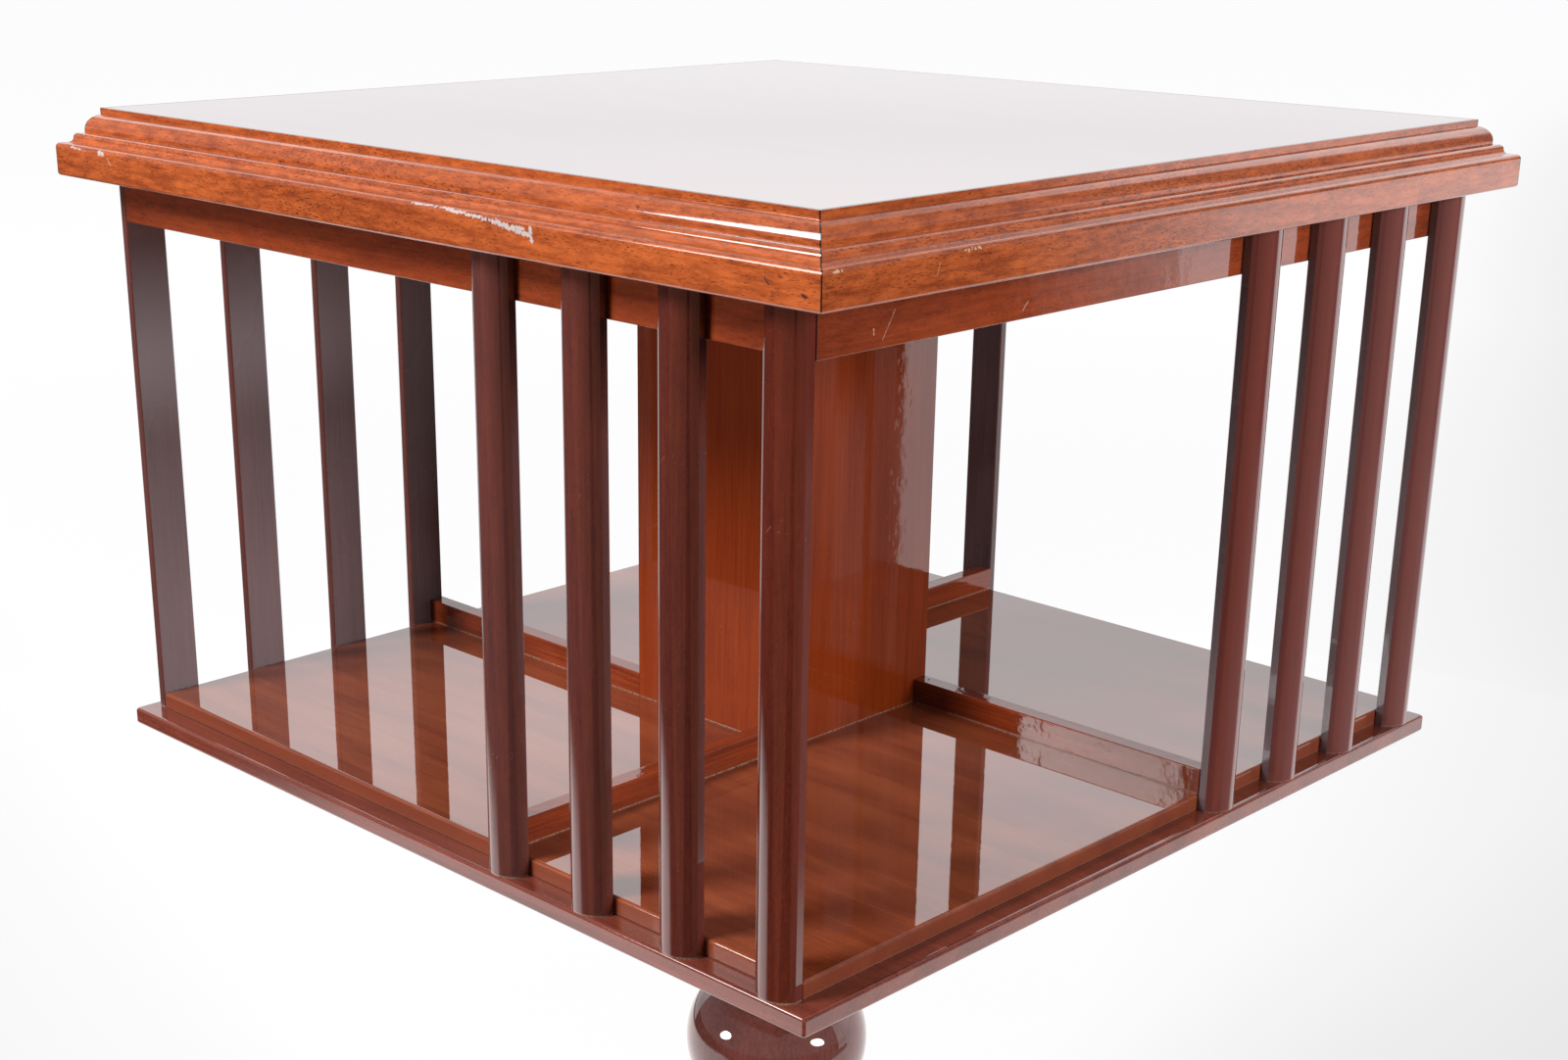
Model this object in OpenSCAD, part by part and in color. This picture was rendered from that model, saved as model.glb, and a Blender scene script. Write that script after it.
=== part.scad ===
// Revolving book table: a slatted mahogany case that spins on a turned pedestal with four legs.
// Millimetres. The origin is on the floor under the pedestal's axis, +Z is up.
// Side 0 is the front (towards -Y), and sides 1, 2 and 3 follow it anticlockwise seen from above.

/* [Case heights] */
// Height of the table top above the floor
table_h = 770; // [730:1:820]
// Depth of the moulded edge, from the top to its underside
edge_h = 32; // [29:0.5:36]
// Length of the slats, from the base board to the moulded edge
slat_len = 274; // [240:0.5:300]
// Depth of the frieze rails under the moulded edge
frieze_h = 22; // [18:0.5:32]
// Thickness of the shelf panel that the books stand on
shelf_t = 8; // [6:0.5:14]
// Thickness of the base board under the shelf panel
base_t = 9; // [7:0.5:16]

/* [Case widths] */
// Width of the table across its moulded edge
top_w = 500; // [480:1:540]
// Width of the base board
base_w = 478; // [470:1:490]
// Width of the shelf panel, which is also the width over the frieze rails
shelf_w = 456; // [430:1:460]
// Side of the square box column
column_w = 105.6; // [90:0.2:120]
// Thickness of the column boards
column_t = 12; // [8:0.5:16]
// Thickness of the frieze rails
frieze_t = 18; // [12:0.5:24]
// Radius that softens the edges of the base board and the shelf panel
board_round = 1.6; // [0.8:0.1:2.4]

/* [Top board and moulded edge] */
// Thickness of the top board
top_t = 18; // [14:0.5:20]
// How far the moulded edge reaches in under the top board
rebate_w = 28; // [20:1:34]
// Upright fillet at the top of the moulding
fillet_h = 3.2; // [2:0.1:4]
// Small step from the fillet to the ovolo
quirk_w = 0.8; // [0.5:0.1:2]
// Radius of the ovolo, the upper round of the moulding
ovolo_r = 7.4; // [6.5:0.1:8.5]
// How far the ovolo stands out
ovolo_w = 5.4; // [4:0.1:6]
// Straight side under the ovolo
ovolo_side = 1.4; // [1:0.1:3]
// Flat ledge under the ovolo
ledge_w = 1.8; // [1:0.1:3]
// Radius of the small round at the end of the ledge
ogee_r = 2.2; // [1.5:0.1:3]
// Radius of the cove under that round
cove_r = 2.4; // [1.5:0.1:3]
// Flat between the cove and the lip
lip_flat = 1.7; // [0.5:0.1:2.5]
// Radius of the lip at the top of the square edge
lip_r = 2.2; // [1:0.1:2.6]
// Radius of the lower corner of the square edge
arris_r = 1.6; // [0.8:0.1:2.5]

/* [Slats and dividers] */
// Number of slats on each side
slats_per_side = 4; // [4]
// Width of a slat
slat_w = 21; // [16:0.5:24]
// Depth of a slat, from its flat back to its round front
slat_d = 11; // [9:0.5:13]
// Flat side of a slat, before the round begins
slat_side = 4.2; // [3:0.1:6]
// Thickness of a divider rail
divider_t = 9.6; // [7:0.2:12]
// Height of a divider rail
divider_h = 12.5; // [9:0.5:18]
// Radius on the top corners of a divider rail
divider_round = 0.8; // [0.5:0.1:1.5]

/* [Pivot] */
// Diameter of the steel spindle
spindle_d = 14; // [12:1:18]
// Depth of the spindle in the stem
spindle_sink = 120; // [90:1:150]
// Height of each pivot block in the column
block_h = 28; // [22:1:34]
// Diameter of the brass pivot plate under the base board
plate_d = 84; // [80:1:88]
// Thickness of the pivot plate
plate_t = 3; // [2:0.5:4]
// Diameter of the collar of the pivot plate and of the upper bush
bush_d = 24; // [22:1:28]
// Thickness of the thrust washer
washer_t = 2; // [1.5:0.5:3]
// Diameter of the thrust washer
washer_d = 60; // [50:1:70]
// Gap between the turning case and what stands still, in height
bearing_gap = 0.3; // [0.2:0.1:0.5]
// Running clearance between the spindle and its bushes, on the radius
running_fit = 0.06; // [0.04:0.01:0.1]
// Distance of the pivot plate's screws from the axis
plate_screw_r = 34; // [32:0.5:36]
// Diameter of the wood screws
screw_d = 4; // [3:0.5:4.5]
// Length of the wood screws
screw_len = 20; // [16:1:24]

/* [Turned stem] */
// Diameter of the turned ball
ball_d = 100; // [80:1:110]
// Height of the turned ball
ball_h = 88; // [80:1:96]
// Height of the middle of the ball above the floor
ball_z = 274; // [266:1:280]
// Diameter of the cap at the top of the stem
cap_d = 92; // [88:1:100]
// Thickness of the cap
cap_h = 10; // [8:0.5:14]
// Diameter of the narrow neck under the cap
neck_d = 44; // [40:1:50]
// Diameter of the rings on the stem
ring_d = 60; // [54:1:66]
// Height of a ring
ring_h = 8; // [6:0.5:10]
// Widest diameter of the tapered shaft, just above the ball
shaft_d = 54; // [48:1:58]
// Diameter of the block that holds the legs
hub_d = 92; // [86:1:98]
// Height of the underside of that block above the floor
hub_z = 102; // [96:1:108]
// Height of that block
hub_h = 108; // [104:1:112]

/* [Legs] */
// Width of a leg
leg_w = 30; // [24:1:34]
// Height of the leg where it meets the block
leg_root_h = 96; // [90:1:100]
// Flat under the root of a leg, measured out from the block
leg_flat = 32; // [26:1:38]
// Slope of the leg's upper edge at the block, in degrees
root_slope = 25; // [20:1:30]
// Steepest slope of the leg's upper edge, in degrees
sweep_slope = 70; // [66:1:74]
// Distance from the axis to where the toe runs level
toe_r = 205; // [195:1:215]
// Height of the toe
toe_h = 25; // [22:1:28]
// Length of the dovetail in the stem
dovetail_len = 13; // [10:0.5:15]
// Width of the dovetail where it leaves the block
dovetail_w = 13; // [10:0.5:15]
// Thickness of the steel strap plate under the legs
strap_t = 2.5; // [2:0.5:4]
// Width of its arms
strap_w = 18; // [14:1:22]

/* [Castors] */
// Diameter of the wheels
wheel_d = 25; // [22:1:26]
// Width of the wheels
wheel_w = 9; // [7:0.5:10]
// Distance of the wheel's axle behind the swivel pin
castor_trail = 9; // [8:0.5:10]
// Diameter of the swivel pin
pin_d = 6; // [5:0.5:7]
// Diameter of the horn's crown
crown_d = 18; // [16:0.5:18]
// Thickness of the horn's crown and cheeks
horn_t = 2; // [1.5:0.1:2.2]
// Diameter of the wheel's axle
axle_d = 4; // [3:0.5:5]
// Length of the brass toe cups
cup_len = 36; // [32:1:42]
// Wall of the toe cups
cup_t = 2; // [1.5:0.1:2.5]

/* [Hidden] */
$fn = 96;
SIDES = ["front", "right", "back", "left"];
CORNERS = ["front_right", "back_right", "back_left", "front_left"];

// Wood and metal colours
mahogany = [0.55, 0.22, 0.12];
mahogany_edge = [0.62, 0.28, 0.14];
mahogany_dark = [0.33, 0.13, 0.10];
mahogany_warm = [0.52, 0.20, 0.08];
brass = [0.72, 0.56, 0.28];
steel = [0.55, 0.56, 0.58];

// Heights of the case, worked down from the top
edge_z = table_h - edge_h;
top_under = table_h - top_t;
base_top = edge_z - slat_len;
base_under = base_top - base_t;
shelf_top = base_top + shelf_t;
frieze_z = edge_z - frieze_h;

// Widths of the case, as distances from the axis
case_half = shelf_w / 2;
column_half = column_w / 2;
column_in = column_half - column_t;
moulding_w = quirk_w + ovolo_w + ledge_w + ogee_r + cove_r + lip_flat + lip_r;
field_half = top_w / 2 - moulding_w;
slat_pitch = (case_half - slat_w / 2) / slats_per_side;
slat_rise = slat_d - slat_side;
slat_round = (pow(slat_w / 2, 2) + pow(slat_rise, 2)) / (2 * slat_rise);

// Pivot
bore_r = spindle_d / 2 + running_fit;
plate_z = base_under - plate_t;
stem_top = plate_z - bearing_gap - washer_t;
bush_len = block_h - 6;
spindle_top = top_under - 8;
glue_gap = 0.1;

// Stem
ball_round = ball_h / 2;
ball_offset = ball_d / 2 - ball_round;
hub_r = hub_d / 2;
hub_top = hub_z + hub_h;
ring_r = ring_d / 2;
neck_r = neck_d / 2;

// Castors, from the floor up
wheel_r = wheel_d / 2;
crown_z = wheel_d + 1;
cup_boss = 4;
swivel_z = crown_z + horn_t + bearing_gap;
toe_z = swivel_z + cup_boss;
castor_r = toe_r + cup_len / 2;
pin_top = toe_z + toe_h - cup_t - 6;
cheek_y = wheel_w / 2 + 0.4;
toe_round = 7;

// Legs. The upper edge is two arcs that meet in one tangent, and these are their radii
leg_run = toe_r - hub_r;
leg_drop = hub_z + leg_root_h - toe_z - toe_h;
hip_run = sin(sweep_slope) - sin(root_slope);
hip_fall = cos(root_slope) - cos(sweep_slope);
sweep_fall = 1 - cos(sweep_slope);
hip_r = (leg_drop * sin(sweep_slope) - leg_run * sweep_fall)
    / (hip_fall * sin(sweep_slope) - hip_run * sweep_fall);
sweep_r = (leg_run - hip_run * hip_r) / sin(sweep_slope);
hip_x = hub_r - hip_r * sin(root_slope);
hip_z = hub_z + leg_root_h - hip_r * cos(root_slope);
under_run = toe_r - hub_r - leg_flat;
under_slope = 2 * atan((hub_z - toe_z) / under_run);
under_r = under_run / sin(under_slope);
dovetail_h = leg_root_h - 10;
dovetail_in = dovetail_w + 5;
strap_hub_screw = hub_r / 2;
strap_leg_screw = hub_r + leg_flat / 2;
strap_end = hub_r + leg_flat - 6;

// Turns what is drawn for the front round to side i
module side(i) rotate([0, 0, 90 * i]) children();

// Turns what is drawn along +X to the corner that follows side i
module corner(i) rotate([0, 0, 90 * i - 45]) children();

// A slice between the two mitres of the front side
module mitre_cut(z, h) {
    reach = top_w;
    translate([0, 0, z - 1]) linear_extrude(h + 2)
        polygon([[0, 0], [-reach, -reach], [reach, -reach]]);
}

// A bar along the front side with mitred ends, from a section drawn outwards and upwards
module mitred_bar(z, h) {
    intersection() {
        translate([-top_w / 2, 0, z]) rotate([90, 0, 90]) linear_extrude(top_w)
            mirror([1, 0]) children();
        mitre_cut(z, h);
    }
}

// A rectangle whose right corners are round
module soft_edge(x0, x1, y0, y1, r_low, r_high) {
    translate([x0, y0]) square([x1 - x0 - max(r_low, r_high), y1 - y0]);
    translate([x0, y0 + r_low]) square([x1 - x0, y1 - y0 - r_low - r_high]);
    translate([x1 - r_low, y0 + r_low]) circle(r_low);
    translate([x1 - r_high, y1 - r_high]) circle(r_high);
    if (r_high < r_low) translate([x0, y1 - r_low]) square([x1 - x0 - r_high, r_low]);
    if (r_low < r_high) translate([x0, y0]) square([x1 - x0 - r_low, r_high]);
}

// A square board with rounded edges all round
module soft_board(w, z, t, r_low, r_high) {
    module both_ways() {
        soft_edge(0, w / 2, z, z + t, r_low, r_high);
        mirror([1, 0]) soft_edge(0, w / 2, z, z + t, r_low, r_high);
    }
    intersection() {
        translate([-w / 2, 0, 0]) rotate([90, 0, 90]) linear_extrude(w) both_ways();
        rotate([90, 0, 0]) translate([0, 0, -w / 2]) linear_extrude(w) both_ways();
    }
}

// The flat veneered field of the table top
module top_board() {
    color(mahogany) translate([-field_half, -field_half, top_under])
        cube([2 * field_half, 2 * field_half, top_t]);
}

// Section of the moulded edge, measured out from the axis
module moulding_section() {
    x0 = field_half;
    x_ovolo = x0 + quirk_w;
    x_side = x_ovolo + ovolo_w;
    x_ledge = x_side + ledge_w;
    x_ogee = x_ledge + ogee_r;
    x_cove = x_ogee + cove_r;
    x_lip = x_cove + lip_flat + lip_r;
    z_ovolo = edge_h - fillet_h;
    z_side = z_ovolo - sqrt(pow(ovolo_r, 2) - pow(ovolo_r - ovolo_w, 2));
    z_ledge = z_side - ovolo_side;
    z_ogee = z_ledge - ogee_r;
    z_lip = z_ogee - cove_r;
    // Fillet and ovolo
    translate([x0, 0]) square([quirk_w / 2, edge_h]);
    translate([x0, 0]) square([quirk_w, z_ovolo]);
    translate([x0, 0]) square([x_side - x0, z_side]);
    intersection() {
        translate([x_side - ovolo_r, z_side]) circle(ovolo_r);
        translate([x0, 0]) square([x_side - x0, z_ovolo]);
    }
    // Ledge, round and cove
    translate([x0, 0]) square([x_ledge - x0, z_ledge]);
    translate([x_ledge, z_ogee]) circle(ogee_r);
    difference() {
        translate([x0, 0]) square([x_cove - x0, z_ogee]);
        translate([x_cove, z_ogee]) circle(cove_r);
    }
    // Lip and square edge, reaching in under the top board
    soft_edge(x0 - rebate_w, x_lip, 0, z_lip, arris_r, lip_r);
}

module moulded_edge(i) {
    color(mahogany_edge) side(i) difference() {
        mitred_bar(edge_z, edge_h) moulding_section();
        translate([-top_w / 2, -field_half, top_under]) cube([top_w, field_half, top_t + 1]);
    }
}

module frieze_rail(i) {
    color(mahogany) side(i) mitred_bar(frieze_z, frieze_h)
        translate([case_half - frieze_t, 0]) square([frieze_t, frieze_h]);
}

// D shaped section of a slat, with its flat back on the X axis
module slat_section() {
    translate([-slat_w / 2, 0]) square([slat_w, slat_side]);
    intersection() {
        translate([0, slat_d - slat_round]) circle(slat_round);
        translate([-slat_w / 2, 0]) square([slat_w, slat_d]);
    }
}

module slat(i, k) {
    color(mahogany_dark) side(i) translate([k * slat_pitch, -case_half, base_top])
        mirror([0, 1, 0]) linear_extrude(slat_len) slat_section();
}

module base_board() {
    color(mahogany) difference() {
        soft_board(base_w, base_under, base_t, board_round, board_round);
        translate([0, 0, base_under - 1]) cylinder(r = bush_d / 2 + glue_gap, h = base_t + 2);
        screw_holes(base_under - 1, base_t + 2);
    }
}

module shelf_panel() {
    color(mahogany_warm) difference() {
        intersection() {
            soft_board(shelf_w, base_top - board_round, shelf_t + board_round, board_round, board_round);
            translate([-shelf_w, -shelf_w, base_top]) cube([2 * shelf_w, 2 * shelf_w, shelf_t + 1]);
        }
        translate([0, 0, base_top - 1]) cylinder(r = bush_d / 2 + glue_gap, h = shelf_t + 2);
        screw_holes(base_top - 1, shelf_t + 2);
    }
}

module column_board(i) {
    color(mahogany_warm) side(i) translate([0, 0, shelf_top]) linear_extrude(top_under - shelf_top)
        polygon([
            [-column_half, -column_half], [column_half, -column_half],
            [column_in, -column_in], [-column_in, -column_in]
        ]);
}

// A low rail from the innermost slat in to the column, level with one face of the column
module divider_rail(i) {
    module profile() {
        square([divider_t, divider_h - divider_round]);
        translate([divider_round, 0]) square([divider_t - 2 * divider_round, divider_h]);
        for (x = [divider_round, divider_t - divider_round])
            translate([x, divider_h - divider_round]) circle(divider_round);
    }
    color(mahogany_warm) side(i)
        translate([column_half - divider_t, -column_half, shelf_top])
            rotate([90, 0, 0]) linear_extrude(case_half - column_half) profile();
}

// Holes for the pivot plate's screws
module screw_holes(z, h) {
    for (i = [0 : 3]) corner(i) translate([plate_screw_r, 0, z]) cylinder(d = screw_d, h = h);
}

module upper_pivot_block() {
    w = 2 * (column_in - glue_gap);
    color(mahogany) difference() {
        translate([-w / 2, -w / 2, top_under - block_h]) cube([w, w, block_h]);
        translate([0, 0, top_under - block_h - 1]) cylinder(r = bush_d / 2 + glue_gap, h = bush_len + 1);
    }
}

module lower_pivot_block() {
    w = 2 * (column_in - glue_gap);
    color(mahogany) difference() {
        translate([-w / 2, -w / 2, shelf_top]) cube([w, w, block_h]);
        translate([0, 0, shelf_top - 1]) cylinder(d = spindle_d + 4, h = block_h + 2);
        screw_holes(shelf_top - 1, screw_len);
    }
}

module upper_bush() {
    color(brass) translate([0, 0, top_under - block_h]) difference() {
        cylinder(d = bush_d, h = bush_len);
        translate([0, 0, -1]) cylinder(r = bore_r, h = bush_len + 2);
    }
}

// Plate under the base board, with a collar that the spindle runs in
module pivot_plate() {
    color(brass) difference() {
        union() {
            translate([0, 0, plate_z]) cylinder(d = plate_d, h = plate_t);
            translate([0, 0, base_under]) cylinder(d = bush_d, h = base_t + shelf_t);
        }
        translate([0, 0, plate_z - 1]) cylinder(r = bore_r, h = plate_t + base_t + shelf_t + 2);
        for (i = [0 : 3]) corner(i) translate([plate_screw_r, 0, plate_z]) screw_head(plate_t);
    }
}

// Countersunk head of a wood screw, face down
module screw_head(h) {
    cylinder(r1 = screw_d, r2 = screw_d / 2, h = h);
}

// A wood screw that points up, with its slotted face on the origin
module wood_screw(head_h) {
    difference() {
        union() {
            screw_head(head_h);
            cylinder(d = screw_d, h = screw_len - screw_d);
            translate([0, 0, screw_len - screw_d]) cylinder(r1 = screw_d / 2, r2 = 0.3, h = screw_d);
        }
        translate([-screw_d, -screw_d / 10, -1]) cube([2 * screw_d, screw_d / 5, 1.8]);
    }
}

module pivot_plate_screws() {
    color(brass) for (i = [0 : 3]) corner(i) translate([plate_screw_r, 0, plate_z]) wood_screw(plate_t);
}

// A turned ring with a round edge, in the half outline of the stem
module turned_ring(r, z, h) {
    translate([0, z]) square([r - h / 2, h]);
    translate([r - h / 2, z + h / 2]) circle(h / 2);
}

// Half outline of the turned stem, to the right of the axis
module stem_outline() {
    ball_top = ball_z + ball_round;
    ball_low = ball_z - ball_round;
    cap_low = stem_top - cap_h;
    cove = cap_d / 2 - neck_r - cap_h / 2;
    cove_low = cap_low - cove;
    neck_ring_z = cove_low - ring_h;
    shaft_low = ball_top + ring_h / 2;
    shaft_h = neck_ring_z - shaft_low;
    shaft_in = neck_r - 2;
    shaft_swell = shaft_d / 2 - shaft_in;
    shaft_r = (pow(shaft_h, 2) + pow(shaft_swell, 2)) / (2 * shaft_swell);
    hub_round = 6;
    // Cap, cove and ring at the top
    turned_ring(cap_d / 2, cap_low, cap_h);
    difference() {
        translate([0, cove_low]) square([neck_r + cove, cove + cap_h / 2]);
        translate([neck_r + cove, cove_low]) circle(cove);
    }
    turned_ring(ring_r, neck_ring_z, ring_h);
    // Shaft that swells down to the ball
    difference() {
        translate([0, shaft_low]) square([shaft_d / 2, shaft_h]);
        translate([shaft_in + shaft_r, neck_ring_z]) circle(shaft_r, $fn = 360);
    }
    turned_ring(ring_r, shaft_low - ring_h, ring_h);
    // Ball
    intersection() {
        translate([ball_offset, ball_z]) circle(ball_round);
        translate([0, ball_low]) square([ball_d, ball_h]);
    }
    translate([0, ball_low]) square([ball_offset, ball_h]);
    // Neck and ring under the ball
    translate([0, hub_top - hub_round]) square([ring_r + 2, ball_low + hub_round + 4 - hub_top]);
    turned_ring(hub_r - hub_round, hub_top, ring_h);
    // Block that holds the legs
    translate([0, hub_z]) square([hub_r, hub_h - hub_round]);
    translate([0, hub_z]) square([hub_r - hub_round, hub_h]);
    translate([hub_r - hub_round, hub_top - hub_round]) circle(hub_round);
}

// The tongue of a leg, or with grow the slot for it: a dovetail whose wide end is inside
module dovetail(grow) {
    x_in = hub_r - dovetail_len - grow;
    polygon([
        [hub_r + 2, -dovetail_w / 2 - grow], [hub_r + 2, dovetail_w / 2 + grow],
        [x_in, dovetail_in / 2 + grow], [x_in, -dovetail_in / 2 - grow]
    ]);
}

module pedestal_stem() {
    color(mahogany_dark) difference() {
        rotate_extrude() stem_outline();
        translate([0, 0, stem_top - spindle_sink]) cylinder(d = spindle_d, h = spindle_sink + 1);
        for (i = [0 : 3]) corner(i) {
            translate([0, 0, hub_z - 1]) linear_extrude(dovetail_h + 1 + glue_gap) dovetail(glue_gap);
            translate([strap_hub_screw, 0, hub_z - 1]) cylinder(d = screw_d, h = screw_len + 1 - strap_t);
        }
    }
}

// Side view of a leg: distance from the axis to the right, height upwards
module leg_outline() {
    sweep_z = toe_z + toe_h + sweep_r;
    // The line through both arcs' centres, where the hip meets the sweep
    split_z = hip_z - hip_x * tan(90 - sweep_slope);
    intersection() {
        // Under the upper edge
        union() {
            intersection() {
                translate([hip_x, hip_z]) circle(hip_r, $fn = 360);
                polygon([[0, split_z], [toe_r, sweep_z], [toe_r, hub_top], [0, hub_top]]);
            }
            difference() {
                polygon([[0, split_z], [0, 0], [toe_r, 0], [toe_r, sweep_z]]);
                translate([toe_r, sweep_z]) circle(sweep_r, $fn = 360);
            }
        }
        // Over the lower edge
        union() {
            translate([0, hub_z]) square([toe_r, leg_root_h]);
            intersection() {
                translate([toe_r, toe_z + under_r]) circle(under_r, $fn = 360);
                square([toe_r, hub_top]);
            }
        }
    }
}

// Plan of the toe, or of what is left inside a wall of that thickness
module toe_plan(wall) {
    x_end = toe_r + cup_len - wall;
    half = leg_w / 2 - wall;
    r = toe_round - wall;
    translate([toe_r, -half]) square([cup_len - wall - r, 2 * half]);
    translate([toe_r, r - half]) square([x_end - toe_r, 2 * (half - r)]);
    for (y = [r - half, half - r]) translate([x_end - r, y]) circle(r);
}

module leg(i) {
    color(mahogany_dark) corner(i) difference() {
        union() {
            difference() {
                translate([0, leg_w / 2, 0]) rotate([90, 0, 0]) linear_extrude(leg_w) leg_outline();
                translate([0, 0, toe_z]) cylinder(r = hub_r, h = hub_top);
            }
            translate([0, 0, hub_z]) linear_extrude(dovetail_h) dovetail(0);
            translate([0, 0, toe_z + cup_t]) linear_extrude(toe_h - 2 * cup_t) toe_plan(cup_t);
        }
        // Holes for the castor's pin and for a screw of the strap plate
        translate([castor_r, 0, toe_z]) cylinder(r = pin_d / 2 + 0.5, h = pin_top + 1 - toe_z);
        translate([strap_leg_screw, 0, hub_z - 1]) cylinder(d = screw_d, h = screw_len + 1 - strap_t);
    }
}

module strap_plate() {
    color(steel) translate([0, 0, hub_z - strap_t]) difference() {
        union() {
            cylinder(r = hub_r - 8, h = strap_t);
            for (i = [0 : 3]) corner(i) {
                translate([0, -strap_w / 2, 0]) cube([strap_end - strap_w / 2, strap_w, strap_t]);
                translate([strap_end - strap_w / 2, 0, 0]) cylinder(d = strap_w, h = strap_t);
            }
        }
        for (i = [0 : 3], x = [strap_hub_screw, strap_leg_screw]) corner(i) translate([x, 0, 0])
            screw_head(strap_t);
    }
}

module strap_screws() {
    color(steel) for (i = [0 : 3], x = [strap_hub_screw, strap_leg_screw]) corner(i)
        translate([x, 0, hub_z - strap_t]) wood_screw(strap_t);
}

module spindle() {
    foot = stem_top - spindle_sink;
    color(steel) translate([0, 0, foot]) {
        cylinder(d = spindle_d, h = spindle_top - foot - 1);
        translate([0, 0, spindle_top - foot - 1])
            cylinder(r1 = spindle_d / 2, r2 = spindle_d / 2 - 1, h = 1);
    }
}

module thrust_washer() {
    color(brass) translate([0, 0, stem_top]) difference() {
        cylinder(d = washer_d, h = washer_t);
        translate([0, 0, -1]) cylinder(r = bore_r, h = washer_t + 2);
    }
}

// Brass cups over the toes, each with a boss that the castor swivels against
module toe_cups() {
    color(brass) for (i = [0 : 3]) corner(i) difference() {
        union() {
            translate([0, 0, toe_z]) linear_extrude(toe_h) toe_plan(0);
            translate([castor_r, 0, swivel_z]) cylinder(d = crown_d, h = cup_boss);
        }
        translate([0, 0, toe_z + cup_t]) linear_extrude(toe_h - 2 * cup_t) toe_plan(cup_t);
        translate([castor_r, 0, swivel_z - 1]) cylinder(r = pin_d / 2 + running_fit, h = cup_boss + cup_t + 1);
    }
}

// Forked horn of a castor, with its swivel pin above and the wheel's axle riveted through it
module castor_horn(i) {
    module cheek() {
        boss = axle_d / 2 + 2.4;
        translate([castor_trail, wheel_r]) circle(boss);
        polygon([
            [-crown_d / 3, crown_z + horn_t], [castor_trail - boss, wheel_r],
            [castor_trail + boss, wheel_r], [crown_d / 2, crown_z + horn_t]
        ]);
    }
    color(brass) corner(i) translate([castor_r, 0, 0]) {
        translate([0, 0, crown_z]) cylinder(d = crown_d, h = horn_t);
        translate([0, 0, crown_z]) cylinder(d = pin_d, h = pin_top - crown_z);
        for (y = [-cheek_y - horn_t, cheek_y])
            translate([0, y + horn_t, 0]) rotate([90, 0, 0]) linear_extrude(horn_t) cheek();
        translate([castor_trail, cheek_y + horn_t + 1, wheel_r]) rotate([90, 0, 0])
            cylinder(d = axle_d, h = 2 * (cheek_y + horn_t + 1));
    }
}

module castor_wheel(i) {
    tread_round = 1.5;
    web = wheel_w / 2 - 1.6;
    color(brass) corner(i) translate([castor_r + castor_trail, 0, wheel_r]) rotate([90, 0, 0])
        rotate_extrude() difference() {
            union() {
                translate([0, -wheel_w / 2]) square([wheel_r - tread_round, wheel_w]);
                translate([0, tread_round - wheel_w / 2]) square([wheel_r, wheel_w - 2 * tread_round]);
                for (y = [tread_round - wheel_w / 2, wheel_w / 2 - tread_round])
                    translate([wheel_r - tread_round, y]) circle(tread_round);
            }
            translate([-1, -wheel_w]) square([axle_d / 2 + running_fit + 1, 2 * wheel_w]);
            // Recess on each face between the hub and the rim
            for (y = [-wheel_w / 2 - 1, web]) translate([axle_d / 2 + 2.5, y])
                square([wheel_r - axle_d / 2 - 5.5, wheel_w / 2 - web + 1]);
        }
}

top_board();
for (i = [0 : 3]) {
    moulded_edge(i);
    frieze_rail(i);
    column_board(i);
    divider_rail(i);
    for (k = [1 : slats_per_side])
        slat(i, k);
    leg(i);
    castor_horn(i);
    castor_wheel(i);
}
base_board();
shelf_panel();
upper_pivot_block();
lower_pivot_block();
upper_bush();
pivot_plate();
pivot_plate_screws();
pedestal_stem();
strap_plate();
strap_screws();
spindle();
thrust_washer();
toe_cups();
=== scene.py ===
# Revolving book table in French polished mahogany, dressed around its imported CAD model.
# The sections follow the table as it is put together, from the turned stem up to the top board.
# Metres throughout. The front side faces -Y, and the other sides follow it anticlockwise.
import math

import bmesh
import bpy
from mathutils import Matrix, Vector


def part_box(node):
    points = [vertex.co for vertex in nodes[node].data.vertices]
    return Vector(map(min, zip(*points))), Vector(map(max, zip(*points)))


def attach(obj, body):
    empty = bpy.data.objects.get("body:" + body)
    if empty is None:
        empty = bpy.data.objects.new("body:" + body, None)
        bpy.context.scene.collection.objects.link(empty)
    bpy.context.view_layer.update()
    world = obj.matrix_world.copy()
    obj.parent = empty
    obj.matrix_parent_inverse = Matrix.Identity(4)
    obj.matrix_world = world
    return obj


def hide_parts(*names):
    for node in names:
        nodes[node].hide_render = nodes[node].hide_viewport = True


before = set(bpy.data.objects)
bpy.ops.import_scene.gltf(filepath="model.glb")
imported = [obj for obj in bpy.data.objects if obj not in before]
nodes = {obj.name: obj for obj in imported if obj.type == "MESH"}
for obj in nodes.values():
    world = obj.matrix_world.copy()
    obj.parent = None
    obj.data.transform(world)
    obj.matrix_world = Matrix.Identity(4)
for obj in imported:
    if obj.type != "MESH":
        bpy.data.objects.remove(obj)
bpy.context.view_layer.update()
SIDES = ["front", "right", "back", "left"]
CORNERS = ["front_right", "back_right", "back_left", "front_left"]


# Turned stem
# Mahogany turned in one length: cap, tapered shaft, ball and the block for the legs.
# It is stained dark and French polished, and the case turns on the spindle in its top.
def shader_group(name, inputs, outputs):
    """An empty shader node group with its sockets, each input given as name: (type, default)."""
    tree = bpy.data.node_groups.new(name, "ShaderNodeTree")
    for label, (kind, default) in inputs.items():
        socket = tree.interface.new_socket(label, in_out="INPUT", socket_type="NodeSocket" + kind)
        if default is not None:
            socket.default_value = default
    for label, kind in outputs.items():
        tree.interface.new_socket(label, in_out="OUTPUT", socket_type="NodeSocket" + kind)
    return tree, tree.nodes.new("NodeGroupInput"), tree.nodes.new("NodeGroupOutput")


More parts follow.
